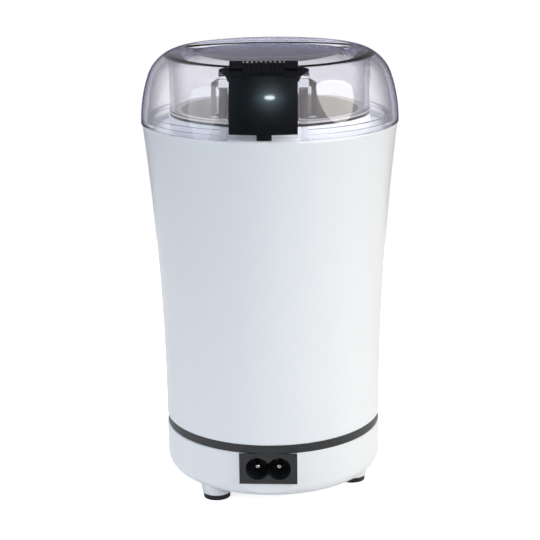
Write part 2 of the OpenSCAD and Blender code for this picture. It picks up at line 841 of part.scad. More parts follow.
// Side view of a blade: flat hub, wings bent by an angle from the bend radius outwards
module blade_profile(r, bend) {
    rise = (r - blade_bend_r) * tan(bend);
    thick = blade_t / cos(bend);
    polygon([[-blade_bend_r, 0], [blade_bend_r, 0], [r + cut, rise * (r + cut - blade_bend_r) / (r - blade_bend_r)],
             [r + cut, rise * (r + cut - blade_bend_r) / (r - blade_bend_r) + thick], [blade_bend_r, blade_t],
             [-blade_bend_r, blade_t], [-r - cut, rise * (r + cut - blade_bend_r) / (r - blade_bend_r) + thick],
             [-r - cut, rise * (r + cut - blade_bend_r) / (r - blade_bend_r)]]);
}

module blade(r, bend, z) {
    translate([0, 0, z]) difference() {
        intersection() {
            translate([0, 0, -r]) linear_extrude(height = 3 * r) blade_plan(r);
            rotate([90, 0, 0]) translate([0, 0, -blade_w])
                linear_extrude(height = 2 * blade_w) blade_profile(r, bend);
        }
        translate([0, 0, -cut]) cylinder(r = blade_bore_r + run_fit, h = blade_t + 2 * cut);
    }
}

module lower_blade() {
    color("silver") blade(blade_low_r, -blade_low_bend, z_blades);
}

module upper_blade() {
    color("silver") rotate([0, 0, 90]) blade(blade_up_r, blade_up_bend, z_blades + blade_t);
}

module blade_washer() {
    z0 = z_blades + 2 * blade_t;
    color("gray") tube(washer_r, blade_bore_r + run_fit, z0, z0 + washer_t);
}

module blade_nut() {
    z0 = z_blades + 2 * blade_t + washer_t;
    cap_r = nut_flats / 2 - nut_chamfer;
    color("silver") difference() {
        union() {
            translate([0, 0, z0]) cylinder(r = nut_flats / sqrt(3), h = nut_h, $fn = 6);
            intersection() {
                translate([0, 0, z0 + nut_h]) sphere(r = cap_r);
                rod(cap_r + cut, z0 + nut_h / 2, z0 + nut_h + cap_r);
            }
        }
        rod(blade_bore_r + run_fit, z0 - cut, z0 + nut_h);
    }
}

// ---------------------------------------------------------------- rotor

module motor_shaft() {
    z_end = z_blades + 2 * blade_t + washer_t + nut_h - nut_crown;
    color("silver") {
        rod(shaft_r, z_shaft, z_blades);
        rod(blade_bore_r, z_blades - cut, z_end);
    }
}

module armature_core() {
    color("slategray") difference() {
        rod(armature_r, z_stator, z_stator_top);
        rod(shaft_r + run_fit, z_stator - cut, z_stator_top + cut);
        for (i = [0 : armature_slots - 1])
            rotate([0, 0, i * 360 / armature_slots])
                box([armature_r - slot_depth, -slot_half, z_stator - cut],
                    [armature_r + cut, slot_half, z_stator_top + cut]);
    }
}

// End windings: a rounded bundle over and under the core
module armature_winding() {
    color("peru") {
        winding_end(z_stator_top, 1);
        winding_end(z_stator, -1);
    }
}

module winding_end(z, way) {
    round_r = 2;
    translate([0, 0, z]) mirror([0, 0, way < 0 ? 1 : 0]) rotate_extrude() difference() {
        union() {
            square([winding_r, winding_h - round_r]);
            square([winding_r - round_r, winding_h]);
            translate([winding_r - round_r, winding_h - round_r]) circle(r = round_r, $fn = small_fn);
        }
        translate([0, -cut]) square([shaft_r + run_fit, winding_h + 2 * cut]);
    }
}

module commutator() {
    segments = 24;
    color("peru") difference() {
        rod(commutator_r, z_commutator, z_commutator + commutator_h);
        rod(shaft_r + run_fit, z_commutator - cut, z_commutator + commutator_h + cut);
        for (i = [0 : segments - 1])
            rotate([0, 0, i * 360 / segments])
                box([commutator_r - bar_slot, -bar_slot / 3, z_commutator - cut],
                    [commutator_r + cut, bar_slot / 3, z_commutator + commutator_h + cut]);
    }
}

module cooling_fan() {
    hub_r = shaft_r + 3;
    plate_t = 1.6;
    z0 = z_fan_top - fan_h;
    color("ivory") difference() {
        union() {
            rod(hub_r, z0, z_fan_top);
            rod(fan_r, z_fan_top - plate_t, z_fan_top);
            for (i = [0 : fan_count - 1])
                rotate([0, 0, i * 360 / fan_count])
                    box([hub_r - vane_root, -vane_half, z0 + vane_root],
                        [fan_r - vane_root, vane_half, z_fan_top - plate_t / 2]);
        }
        rod(shaft_r + run_fit, z0 - cut, z_fan_top + cut);
    }
}

// ---------------------------------------------------------------- stator and brackets

module stator_stack() {
    color("slategray") difference() {
        intersection() {
            box([-stator_w / 2, -stator_d / 2, z_stator], [stator_w / 2, stator_d / 2, z_stator_top]);
            rod(stator_corner_r, z_stator - cut, z_stator_top + cut);
        }
        rod(bore_r, z_stator - cut, z_stator_top + cut);
        both_sides([1, 0, 0]) {
            both_sides([0, 1, 0]) coil_window();
            translate([bolt_x, 0, 0]) rod(bolt_r + run_fit, z_stator - cut, z_stator_top + cut);
        }
    }
}

// Window in the stack for one side of a field coil
module coil_window() {
    box([coil_in_x - coil_slot_gap, coil_in_y - coil_slot_gap, z_stator - cut],
        [coil_in_x + coil_t + coil_slot_gap, coil_out_y + coil_slot_gap, z_stator_top + cut]);
}

module field_coils() {
    out_x = coil_in_x + coil_t;
    end_gap = 0.4;
    color("peru") both_sides([0, 1, 0]) difference() {
        box([-out_x, coil_in_y, z_stator - winding_h + coil_short],
            [out_x, coil_out_y, z_stator_top + winding_h - coil_short]);
        box([-coil_in_x, coil_in_y - cut, z_stator - end_gap],
            [coil_in_x, coil_out_y + cut, z_stator_top + end_gap]);
    }
}

// Bridge bracket with a bearing boss. It stands on the stack's face at z = 0, height up
module bracket(height) {
    half = bracket_w / 2;
    difference() {
        union() {
            box([-leg_out_x, -half, height - bracket_t], [leg_out_x, half, height]);
            rod(bracket_boss_r, height - bracket_t - bearing_h + seat_gap, height);
            both_sides([1, 0, 0]) {
                box([leg_out_x - bracket_t, -half, 0], [leg_out_x, half, height]);
                box([foot_in_x, -half, 0], [leg_out_x, half, bracket_t]);
            }
        }
        rod(bearing_r + run_fit, height - bracket_t - bearing_h - cut, height - cup_floor);
        rod(shaft_r + slide_gap, 0, height + cut);
        both_sides([1, 0, 0]) translate([bolt_x, 0, 0])
            rod(bolt_r + run_fit, -cut, bracket_t + cut);
    }
}

module upper_bracket() {
    color("silver") difference() {
        translate([0, 0, z_stator_top]) bracket(up_bracket_h);
        both_sides([1, 0, 0]) translate([motor_screw_x, 0, 0])
            rod(bolt_r + run_fit, z_bracket - bracket_t - cut, z_bracket + cut);
    }
}

module lower_bracket() {
    color("silver") translate([0, 0, z_stator]) mirror([0, 0, 1]) bracket(low_bracket_h);
}

module bearing(z0) {
    tube(bearing_r, shaft_r + run_fit, z0, z0 + bearing_h - bracket_t / 2);
}

module upper_bearing() {
    color("goldenrod") bearing(z_bracket - bracket_t - bearing_h + bracket_t);
}

module lower_bearing() {
    color("goldenrod") bearing(z_low_bracket + bracket_t / 2);
}

module motor_grommets() {
    color("black") both_sides([1, 0, 0]) translate([motor_screw_x, 0, 0])
        tube(grommet_r, bolt_r + run_fit, z_bracket, z_boss_under);
}

module motor_screws() {
    color("silver") both_sides([1, 0, 0]) translate([motor_screw_x, 0, 0]) {
        rod(bolt_head_r, z_bracket - bracket_t - motor_screw_head_h, z_bracket - bracket_t);
        rod(bolt_r, z_bracket - bracket_t - cut, z_well_under + screw_bite);
    }
}

module stator_bolts() {
    color("silver") both_sides([1, 0, 0]) translate([bolt_x, 0, 0]) {
        rod(bolt_r, z_stator - bracket_t - cut, z_stator_top + bracket_t + cut);
        rod(bolt_head_r, z_stator - bracket_t - bolt_head_h, z_stator - bracket_t);
        rod(bolt_head_r, z_stator_top + bracket_t, z_stator_top + bracket_t + bolt_head_h);
    }
}

// ---------------------------------------------------------------- brushes

module brush_holders() {
    half_w = brush_w / 2 + slide_gap;
    half_h = brush_h / 2 + slide_gap;
    color("saddlebrown") both_sides([1, 0, 0]) difference() {
        box([holder_in_x, -half_w - holder_wall, brush_z - half_h - holder_wall],
            [holder_out_x, half_w + holder_wall, brush_z + half_h + holder_wall]);
        box([holder_in_x - cut, -half_w, brush_z - half_h], [holder_out_x - 1, half_w, brush_z + half_h]);
    }
}

module carbon_brushes() {
    color("black") both_sides([1, 0, 0]) difference() {
        box([brush_in_x - cut, -brush_w / 2, brush_z - brush_h / 2],
            [brush_in_x + brush_l, brush_w / 2, brush_z + brush_h / 2]);
        rod(commutator_r + run_fit, brush_z - brush_h, brush_z + brush_h);
    }
}

module brush_springs() {
    x0 = brush_in_x + brush_l + touch_gap;
    color("silver") both_sides([1, 0, 0]) translate([x0, 0, brush_z]) rotate([0, 90, 0])
        coil_spring(brush_spring_r, brush_wire_r, holder_out_x - 1 - x0 - touch_gap, brush_turns);
}

// ---------------------------------------------------------------- switch

module switch_body() {
    half = switch_w / 2;
    color("black") difference() {
        union() {
            box([-half, -switch_front_y, z_switch - switch_h], [half, -switch_back_y, z_switch]);
            both_sides([1, 0, 0])
                box([lever_half + seat_gap, -pivot_y - ear_half, z_switch - cut],
                    [half, -pivot_y + ear_half, z_ear]);
            for (y = [switch_back_y + tab_inset, switch_front_y - tab_inset])
                box([-tab_half, -y - tab_t / 2, z_switch - switch_h - tab_l],
                    [tab_half, -y + tab_t / 2, z_switch - switch_h + tab_t]);
        }
        translate([-half - cut, -pivot_y, z_lever]) rotate([0, 90, 0])
            cylinder(r = lever_barrel_r + run_fit, h = 2 * half + 2 * cut, $fn = small_fn);
        switch_holes(-half - cut, half + cut, switch_hole_r + run_fit);
        translate([0, -plunger_y, 0])
            rod(plunger_r + run_fit, z_switch - plunger_stem - button_travel, z_switch + cut);
    }
}

module switch_screws() {
    half = switch_w / 2;
    color("silver") {
        switch_holes(-half - cut / 2, half + rib_t - 1.5 * hole_web, switch_hole_r);
        switch_holes(-half - switch_head_h, -half, switch_head_r);
    }
}

// Lever of spring steel: a rolled end in the switch and a flat arm that slopes up to the rod
module switch_lever() {
    half = switch_w / 2 - seat_gap;
    color("lightgray") translate([0, -pivot_y, z_lever]) {
        translate([-half, 0, 0]) rotate([0, 90, 0])
            cylinder(r = lever_barrel_r, h = 2 * half, $fn = small_fn);
        rotate([-lever_slope, 0, 0])
            box([-lever_half, -lever_reach, 0], [lever_half, 0, lever_t]);
    }
}

module switch_plunger() {
    color("firebrick") translate([0, -plunger_y, 0])
        rod(plunger_r, z_switch - plunger_stem + seat_gap, plunger_top);
}

module push_rod() {
    color("black") translate([0, -rod_y, 0]) {
        rod(rod_r, z_rod + rod_r, z_pad);
        translate([0, 0, z_rod + rod_r]) sphere(r = rod_r);
        rod(collar_r, z_collar - collar_t, z_collar);
        box([-tongue_w / 2, rod_y - tongue_y - tongue_t / 2, z_pad - pad_t], [tongue_w / 2, rod_r, z_pad]);
    }
}

module push_rod_spring() {
    z0 = z_guide + guide_t + touch_gap;
    color("silver") translate([0, -rod_y, z0])
        coil_spring(collar_r - rod_wire_r, rod_wire_r, z_collar - collar_t - z0 - touch_gap, rod_turns);
}

// ---------------------------------------------------------------- lid

// Half section of the dome's outer form, grown by grow
module dome_section(grow) {
    wedge = shoulder_rise * 3;
    r_low = lid_side_r + grow;
    r_top = lid_shoulder_r + grow;
    intersection() {
        translate([side_cx, z_rim]) circle(r = r_low, $fn = 4 * $fn);
        union() {
            translate([0, z_rim - cut]) square([shoulder_cx, lid_h + grow + cut]);
            polygon([[0, z_rim - cut], [lid_r + 2, z_rim - cut], [lid_r + 2, z_rim],
                     [shoulder_cx + wedge * (shoulder_cx - side_cx) / shoulder_rise,
                      z_shoulder + wedge], [shoulder_cx, z_shoulder], [0, z_shoulder]]);
            translate([shoulder_cx, z_shoulder]) circle(r = r_top, $fn = 2 * $fn);
        }
        translate([0, z_rim - cut]) square([lid_r + 2, lid_h + grow + cut]);
    }
}

// Solid dome with its dish, from height z0 upwards
module dome(grow, z0) {
    z_dish = z_lid_top - dish_depth + grow;
    rotate_extrude() difference() {
        dome_section(grow);
        translate([0, z_rim - 2 * cut]) square([lid_r + 3, z0 - z_rim + 2 * cut]);
        polygon([[-cut, z_dish], [shoulder_cx - dish_slope, z_dish],
                 [shoulder_cx + dish_slope / dish_depth * cut, z_lid_top + grow + cut],
                 [-cut, z_lid_top + grow + cut]]);
    }
}

// Clear shell: dome, seat ring and centring lip
module lid_form() {
    difference() {
        dome(0, z_rim);
        lid_hollow();
    }
    tube(lid_lip_r, lid_lip_r - lip_t, z_deck + lip_foot, z_rim + seat_w);
    tube(lid_r - lid_t / 2, lid_lip_r - lip_t, z_rim, z_rim + seat_w / 2);
}

// Space under the dome's wall
module lid_hollow() {
    intersection() {
        dome(-lid_t, z_rim);
        rod(2 * rim_r, z_rim - cut, z_ceiling);
    }
}

// Rails and back wall of the pocket that the button slides in. The rails widen above a step
module pocket_walls() {
    y_back = -notch_y + pocket_t;
    rail_x = notch_half + rail_t;
    wide_x = notch_half + rail_w;
    z_step = z_rim + rail_step;
    intersection() {
        union() {
            both_sides([1, 0, 0]) {
                box([notch_half, -lid_r, z_rim], [rail_x, y_back, z_lid_top]);
                box([notch_half, -lid_r, z_step], [wide_x, y_back, z_step + pocket_t]);
                box([rail_x + rail_slot, -lid_r, z_step], [wide_x, y_back, z_lid_top]);
            }
            box([-rail_x, -notch_y, z_rim], [rail_x, y_back, z_lid_top]);
            box([-wide_x, -notch_y, z_step], [wide_x, y_back, z_lid_top]);
        }
        dome(-seat_gap, z_rim);
    }
}

// Space that the button moves in
module button_space() {
    ear_x = cap_half + slide_gap;
    low = button_travel + slide_gap;
    box([-notch_half, -2 * rim_r, z_deck - cut], [notch_half, -notch_y, z_lid_top + cut]);
    box([-ear_x, -2 * rim_r, z_cap - ear_drop - low], [ear_x, -notch_y, z_lid_top + cut]);
    box([-ear_x, -2 * rim_r, z_cap - low], [ear_x, -cap_back_y + slide_gap, z_lid_top + cut]);
}

module lid_shell() {
    color("lavender", 0.4) difference() {
        union() {
            lid_form();
            pocket_walls();
        }
        button_space();
    }
}

// Skirt inside the lid, which shuts the bowl
module lid_skirt() {
    color("lavender", 0.4) tube(skirt_out_r, skirt_out_r - skirt_t, z_skirt, z_ceiling);
}

// Half section of the button's outer form: the lid's side arc up to the crease, then the cap's slope
module button_section(grow) {
    up = grow * norm([1, cap_slope]);
    far_r = lid_r + 2;
    intersection() {
        translate([side_cx, z_rim]) circle(r = lid_side_r + grow, $fn = 4 * $fn);
        polygon([[0, z_rim - cut], [far_r, z_rim - cut],
                 [far_r, z_crease + up - (far_r - crease_r) * cap_slope],
                 [cap_back_y, z_cap_back + up], [0, z_cap_back + up]]);
    }
}

// The button's outer form, from height z0 upwards
module button_form(grow, z0) {
    rotate_extrude() difference() {
        button_section(grow);
        translate([0, z_rim - 2 * cut]) square([lid_r + 3, z0 - z_rim + 2 * cut]);
    }
}

// The same form drawn straight across the button instead of round the lid
module cap_form(grow) {
    rotate([90, 0, -90]) linear_extrude(height = button_w, center = true) button_section(grow);
}

module press_button() {
    y_back = -notch_y - slide_gap;
    color("black") {
        intersection() {
            difference() {
                button_form(0, z_rim + cut / 2);
                button_form(-button_t, z_rim);
            }
            box([-button_w / 2, -2 * rim_r, z_face], [button_w / 2, y_back, z_lid_top]);
        }
        intersection() {
            button_form(0, z_rim);
            union() {
                box([-button_w / 2, -2 * rim_r, z_cap - ear_drop], [button_w / 2, y_back, z_cap]);
                box([-cap_half, -2 * rim_r, z_cap], [cap_half, -cap_back_y, z_lid_top]);
                button_ears(y_back);
            }
        }
        intersection() {
            cap_form(0);
            union() {
                box([-button_w / 2, -2 * rim_r, z_crease], [button_w / 2, y_back, z_cap + cut]);
                box([-button_w / 2, -2 * rim_r, z_cap], [button_w / 2, -cap_back_y, z_lid_top]);
            }
        }
        tongue();
        grip_ribs();
    }
}

// Ears at the cap's sides, each on a web with a hollow curve
module button_ears(y_back) {
    difference() {
        box([-cap_half, -2 * rim_r, z_cap - ear_drop], [cap_half, y_back, z_cap + ear_web]);
        both_sides([1, 0, 0])
            translate([button_w / 2 + ear_root + ear_drop, 0, z_cap - ear_drop - ear_web])
                rotate([90, 0, 0]) cylinder(r = ear_drop, h = 2 * rim_r, $fn = small_fn);
    }
}

// Tongue that drops through the deck, and the web that carries it
module tongue() {
    half = tongue_w / 2;
    y_back = -tongue_y + tongue_t / 2;
    y_front = -dome_r(z_face) + button_t / 2;
    box([-half, -tongue_y - tongue_t / 2, z_tongue], [half, y_back, z_cap]);
    box([-half, y_front, z_face], [half, y_back, z_face + 3]);
}

// Ribs across the cap that the finger grips, and a smooth raised pad at each side of them
module grip_ribs() {
    rib_h = 0.5;
    rib_w = 0.8;
    pad_in_x = grip_count * grip_pitch / 2;
    intersection() {
        difference() {
            cap_form(rib_h);
            cap_form(-rib_h);
        }
        box([-cap_half, -2 * rim_r, z_crease + 2 * rib_h], [cap_half, -cap_back_y, z_lid_top]);
        union() {
            for (i = [0 : grip_count - 1])
                translate([(i - (grip_count - 1) / 2) * grip_pitch, 0, 0])
                    box([-rib_w / 2, -2 * rim_r, z_crease], [rib_w / 2, 0, z_lid_top]);
            both_sides([1, 0, 0])
                box([pad_in_x, -2 * rim_r, z_crease + 3 * rib_w], [button_w / 2, 0, z_lid_top]);
        }
    }
}

// ---------------------------------------------------------------- pieces

housing();
base_cup();
trim_band();
foot_pads();
base_screws();
inlet_housing();
inlet_pins();
inlet_leads();
grinding_bowl();
bowl_gasket();
bowl_bush();
shaft_seal();
lower_blade();
upper_blade();
blade_washer();
blade_nut();
motor_shaft();
armature_core();
armature_winding();
commutator();
cooling_fan();
stator_stack();
field_coils();
stator_bolts();
upper_bracket();
lower_bracket();
upper_bearing();
lower_bearing();
motor_grommets();
motor_screws();
brush_holders();
carbon_brushes();
brush_springs();
switch_body();
switch_screws();
switch_lever();
switch_plunger();
push_rod();
push_rod_spring();
lid_shell();
lid_skirt();
press_button();
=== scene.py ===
"""Looks of an electric spice grinder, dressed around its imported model.

Metres, Z up, z = 0 at the table, the front with the button and the mains inlet towards -Y. The rigid parts
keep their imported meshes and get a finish. The motor's windings and the push rod's spring are made as wire.
"""
import logging
import math
from dataclasses import dataclass
from enum import Enum

import bpy
import numpy as np
from mathutils import Matrix, Vector


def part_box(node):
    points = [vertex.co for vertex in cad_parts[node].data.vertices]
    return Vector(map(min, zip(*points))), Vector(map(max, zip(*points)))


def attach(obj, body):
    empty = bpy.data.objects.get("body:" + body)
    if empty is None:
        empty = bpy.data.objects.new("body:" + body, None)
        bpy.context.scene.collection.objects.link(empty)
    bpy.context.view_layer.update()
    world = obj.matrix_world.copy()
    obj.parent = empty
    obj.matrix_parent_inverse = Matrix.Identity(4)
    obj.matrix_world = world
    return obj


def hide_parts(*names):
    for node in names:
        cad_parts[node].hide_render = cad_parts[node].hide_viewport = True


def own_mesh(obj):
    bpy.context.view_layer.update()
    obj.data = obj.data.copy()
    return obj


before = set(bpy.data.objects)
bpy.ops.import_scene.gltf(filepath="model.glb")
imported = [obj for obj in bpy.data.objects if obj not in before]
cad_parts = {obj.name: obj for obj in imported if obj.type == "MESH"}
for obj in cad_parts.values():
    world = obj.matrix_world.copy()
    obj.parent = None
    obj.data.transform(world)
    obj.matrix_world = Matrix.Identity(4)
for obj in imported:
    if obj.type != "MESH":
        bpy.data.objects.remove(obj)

LOG = logging.getLogger("spice_grinder")
MM = 0.001

Point = tuple[float, float, float]
# A mesh as its points, in metres, and its faces, as point numbers.
Shape = tuple[np.ndarray, list[tuple[int, ...]]]


# ------------------------------------------------------------------ colour, nodes and objects

def linear(hex_colour: str) -> tuple[float, float, float, float]:
    """Turns an sRGB hex colour into linear light, with the sRGB standard's curve.

    Args:
        hex_colour: a colour such as "#e6e8eb".

    Returns:
        Red, green, blue and an alpha of 1, in linear light.
    """
    parts = [int(hex_colour[i:i + 2], 16) / 255 for i in (1, 3, 5)]
    light = [c / 12.92 if c <= 0.04045 else ((c + 0.055) / 1.055) ** 2.4 for c in parts]
    return (*light, 1.0)


def add_node(tree: bpy.types.NodeTree, kind: str, inputs: dict[str | int, object] | None = None,
             **settings: object) -> bpy.types.Node:
    """Adds a shader node with its settings, values and links.

    Args:
        tree: the node tree that the node goes into.
        kind: the node's type name.
        inputs: a value or a socket for each input, by its name or number.
        settings: the node's own properties.

    Returns:
        The new node.
    """
    node = tree.nodes.new(kind)
    for name, value in settings.items():
        setattr(node, name, value)
    for name, value in (inputs or {}).items():
        if isinstance(value, bpy.types.NodeSocket):
            tree.links.new(value, node.inputs[name])
        else:
            node.inputs[name].default_value = value
    return node


def add_object(name: str, data: bpy.types.ID) -> bpy.types.Object:
    """Puts an object with its data into the scene, at the origin."""
    made = bpy.data.objects.new(name, data)
    bpy.context.scene.collection.objects.link(made)
    return made


def blank_material(name: str) -> bpy.types.Material:
    """Makes a material with an empty node tree."""
    made = bpy.data.materials.new(name)
    made.use_nodes = True
    made.node_tree.nodes.clear()
    return made


# ------------------------------------------------------------------ finishes

# Radians that a Wave Texture's phase runs in one unit of length at a scale of 1.
WAVE_PHASE = 20
# How far turned rings stray from circles, and stacked sheets from level, in a Wave Texture's own measure.
RING_WOBBLE = 1.5
SHEET_WOBBLE = 0.3
# A drawn line changes this much as fast along X as across it.
LINE_STRETCH = 0.03
# The cloud that the roughness drifts with, against the colour's cloud.
WEAR_SHARE = 1 / 3


def per_metre(size_mm: float) -> float:
    """Number of features in a metre when one is size_mm wide."""
    return 1.0 / (size_mm * MM)


def wave_scale(spacing_mm: float) -> float:
    """Scale at which a Wave Texture repeats every spacing_mm."""
    return 2 * math.pi / (WAVE_PHASE * spacing_mm * MM)


class Pattern(Enum):
    """How a surface was made, which sets the form of its fine relief."""

    GRAIN = "moulded or spark-eroded grain, alike in every direction"
    TURNED = "rings round the Z axis, left by spinning or turning"
    DRAWN = "lines along X, left by rolling, drawing or grinding"
    STACKED = "level sheets, one on the other"


@dataclass(frozen=True)
class Surface:
    """What a piece wears: a material that is made when it is first needed."""

    name: str
    colour: str

    def shade(self, made: bpy.types.Material) -> None:
        """Fills the material's empty node tree."""
        raise NotImplementedError

    def build(self) -> bpy.types.Material:
        """Makes the material, or returns it if it exists already."""
        made = bpy.data.materials.get(self.name)
        if made is None:
            made = blank_material(self.name)
            self.shade(made)
        return made


@dataclass(frozen=True)
class Finish(Surface):
    """A solid surface: a base colour that drifts to a second one, and a fine relief.

    The colour drifts with a cloud of drift_mm and the roughness with a finer one. The relief is a height
    field of relief_mm over features spacing_mm apart.
    """

    second: str
    rough_low: float
    rough_high: float
    pattern: Pattern = Pattern.GRAIN
    spacing_mm: float = 0.5
    relief_mm: float = 0.01
    drift_mm: float = 12.0
    metallic: float = 0.0
    ior: float = 1.5
    coat: float = 0.0
    coat_roughness: float = 0.1
    anisotropic: float = 0.0

    def relief(self, tree: bpy.types.NodeTree, place: bpy.types.NodeSocket) -> bpy.types.NodeSocket:
        """The height field of the finish's pattern.

        Args:
            tree: the material's node tree.
            place: Object coordinates.

        Returns:
            The socket that gives the height, from 0 to 1.
        """
        bands = wave_scale(self.spacing_mm)
        if self.pattern is Pattern.TURNED:
            wave = add_node(tree, "ShaderNodeTexWave", {"Vector": place, "Scale": bands,
                            "Distortion": RING_WOBBLE, "Detail": 2.0, "Detail Scale": 0.5},
                            wave_type="RINGS", rings_direction="Z")
            return wave.outputs["Fac"]
        if self.pattern is Pattern.STACKED:
            wave = add_node(tree, "ShaderNodeTexWave", {"Vector": place, "Scale": bands,
                            "Distortion": SHEET_WOBBLE}, wave_type="BANDS", bands_direction="Z")
            return wave.outputs["Fac"]
        stretch = (LINE_STRETCH, 1.0, 1.0) if self.pattern is Pattern.DRAWN else (1.0, 1.0, 1.0)
        laid = add_node(tree, "ShaderNodeMapping", {"Vector": place, "Scale": stretch})
        noise = add_node(tree, "ShaderNodeTexNoise", {"Vector": laid.outputs["Vector"],
                         "Scale": per_metre(self.spacing_mm), "Detail": 3.0, "Roughness": 0.55})
        return noise.outputs["Fac"]

    def shade(self, made: bpy.types.Material) -> None:
        """Fills the material's empty node tree."""
        tree = made.node_tree
        place = add_node(tree, "ShaderNodeTexCoord").outputs["Object"]
        drift = add_node(tree, "ShaderNodeTexNoise", {"Vector": place, "Scale": per_metre(self.drift_mm),
                         "Detail": 4.0})
        wear = add_node(tree, "ShaderNodeTexNoise", {"Vector": place, "Detail": 3.0,
                        "Scale": per_metre(self.drift_mm * WEAR_SHARE)})
        tone = add_node(tree, "ShaderNodeMix", {"Factor": drift.outputs["Fac"], "A": linear(self.colour),
                        "B": linear(self.second)}, data_type="RGBA")
        gloss = add_node(tree, "ShaderNodeMapRange", {"Value": wear.outputs["Fac"], "To Min": self.rough_low,
                         "To Max": self.rough_high})
        bump = add_node(tree, "ShaderNodeBump", {"Height": self.relief(tree, place), "Strength": 1.0,
                        "Distance": self.relief_mm * MM})
        shader = add_node(tree, "ShaderNodeBsdfPrincipled", {
            "Base Color": tone.outputs["Result"], "Roughness": gloss.outputs["Result"],
            "Normal": bump.outputs["Normal"], "Metallic": self.metallic, "IOR": self.ior,
            "Coat Weight": self.coat, "Coat Roughness": self.coat_roughness, "Anisotropic": self.anisotropic})
        add_node(tree, "ShaderNodeOutputMaterial", {"Surface": shader.outputs["BSDF"]})
        made.diffuse_color = linear(self.colour)


@dataclass(frozen=True)
class ClearPlastic(Surface):
    """Clear moulded polystyrene: a smooth shell, with a painted lavender shade at its edges.

    The colour turns to a darker lavender as the surface turns away, from edge_from to edge_to. This is
    painted shade that stands in for the dark surroundings which the edges reflect and bend. The thickness
    takes on depth_colour at the rate of density. Moulding leaves a slow ripple of relief_mm. The dish in the
    top, within dish_r_mm of the Z axis and dish_depth_mm of the lid's top, has a spark-eroded frost, whose
    grain is frost_share as high as the ripple. Rays from lamps pass the shell, which lights what is under it.
    """

    painted_edge_shade: str
    depth_colour: str
    density: float
    edge_from: float
    edge_to: float
    roughness: float = 0.02
    ior: float = 1.58
    ripple_mm: float = 11.0
    relief_mm: float = 0.05
    dish_r_mm: float = 30.9
    dish_depth_mm: float = 3.0
    frost_roughness: float = 0.22
    frost_grain_mm: float = 0.7
    frost_share: float = 0.3

    def frost(self, tree: bpy.types.NodeTree, place: bpy.types.NodeSocket) -> bpy.types.NodeSocket:
        """Where the surface is frosted.

        Args:
            tree: the material's node tree.
            place: Object coordinates.

        Returns:
            The socket that gives 1 in the frosted dish and 0 elsewhere.
        """
        lid_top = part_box("lid_shell")[1][2]
        axes = add_node(tree, "ShaderNodeSeparateXYZ", {"Vector": place})
        level = add_node(tree, "ShaderNodeCombineXYZ", {"X": axes.outputs["X"], "Y": axes.outputs["Y"]})
        radius = add_node(tree, "ShaderNodeVectorMath", {0: level.outputs["Vector"]}, operation="LENGTH")
        inside = add_node(tree, "ShaderNodeMath", {0: radius.outputs["Value"], 1: self.dish_r_mm * MM},
                          operation="LESS_THAN")
        above = add_node(tree, "ShaderNodeMath", {0: axes.outputs["Z"], 1: lid_top - self.dish_depth_mm * MM},
                         operation="GREATER_THAN")
        both = add_node(tree, "ShaderNodeMath", {0: inside.outputs["Value"], 1: above.outputs["Value"]},
                        operation="MULTIPLY")
        return both.outputs["Value"]

    def bump(self, tree: bpy.types.NodeTree, place: bpy.types.NodeSocket,
             frost: bpy.types.NodeSocket) -> bpy.types.NodeSocket:
        """The ripple all over, with the frost's grain on it.

        Args:
            tree: the material's node tree.
            place: Object coordinates.
            frost: 1 where the surface is frosted.

        Returns:
            The socket that gives the bumped normal.
        """
        ripple = add_node(tree, "ShaderNodeTexNoise", {"Vector": place, "Detail": 1.0,
                          "Scale": per_metre(self.ripple_mm)})
        grain = add_node(tree, "ShaderNodeTexNoise", {"Vector": place, "Detail": 2.0,
                         "Scale": per_metre(self.frost_grain_mm)})
        grit = add_node(tree, "ShaderNodeMath", {0: grain.outputs["Fac"], 1: frost}, operation="MULTIPLY")
        height = add_node(tree, "ShaderNodeMath", {0: grit.outputs["Value"], 1: self.frost_share,
                          2: ripple.outputs["Fac"]}, operation="MULTIPLY_ADD")
        bump = add_node(tree, "ShaderNodeBump", {"Height": height.outputs["Value"], "Strength": 1.0,
                        "Distance": self.relief_mm * MM})
        return bump.outputs["Normal"]

    def shade(self, made: bpy.types.Material) -> None:
        """Fills the material's empty node tree."""
        tree = made.node_tree
        place = add_node(tree, "ShaderNodeTexCoord").outputs["Object"]
        frost = self.frost(tree, place)
        gloss = add_node(tree, "ShaderNodeMapRange", {"Value": frost, "To Min": self.roughness,
                         "To Max": self.frost_roughness})
        # Painted edge shade: the base colour darkens to lavender where the surface turns away, standing in
        # for reflected dark surroundings.
        facing = add_node(tree, "ShaderNodeLayerWeight", {"Blend": 0.5}).outputs["Facing"]
        edge = add_node(tree, "ShaderNodeMapRange", {"Value": facing, "From Min": self.edge_from,
                        "From Max": self.edge_to})
        edge_shaded_colour = add_node(tree, "ShaderNodeMix", {"Factor": edge.outputs["Result"], "A": linear(self.colour),
                        "B": linear(self.painted_edge_shade)}, data_type="RGBA")
        shader = add_node(tree, "ShaderNodeBsdfPrincipled", {
            "Base Color": edge_shaded_colour.outputs["Result"], "Roughness": gloss.outputs["Result"], "IOR": self.ior,
            "Transmission Weight": 1.0, "Normal": self.bump(tree, place, frost)})
        passing = add_node(tree, "ShaderNodeBsdfTransparent", {"Color": linear(self.colour)})
        path = add_node(tree, "ShaderNodeLightPath")
        mixed = add_node(tree, "ShaderNodeMixShader", {0: path.outputs["Is Shadow Ray"],
                         1: shader.outputs["BSDF"], 2: passing.outputs["BSDF"]})
        depth = add_node(tree, "ShaderNodeVolumeAbsorption", {"Color": linear(self.depth_colour),
                         "Density": self.density})
        add_node(tree, "ShaderNodeOutputMaterial", {"Surface": mixed.outputs["Shader"],
                 "Volume": depth.outputs["Volume"]})


# ABS, moulded against a polished tool: an even satin white with a faint orange peel.
WHITE_ABS = Finish("white_moulded_abs", "#eaecee", "#e9ebed", 0.29, 0.34, spacing_mm=2.4, relief_mm=0.002,
                   drift_mm=60, ior=1.54)
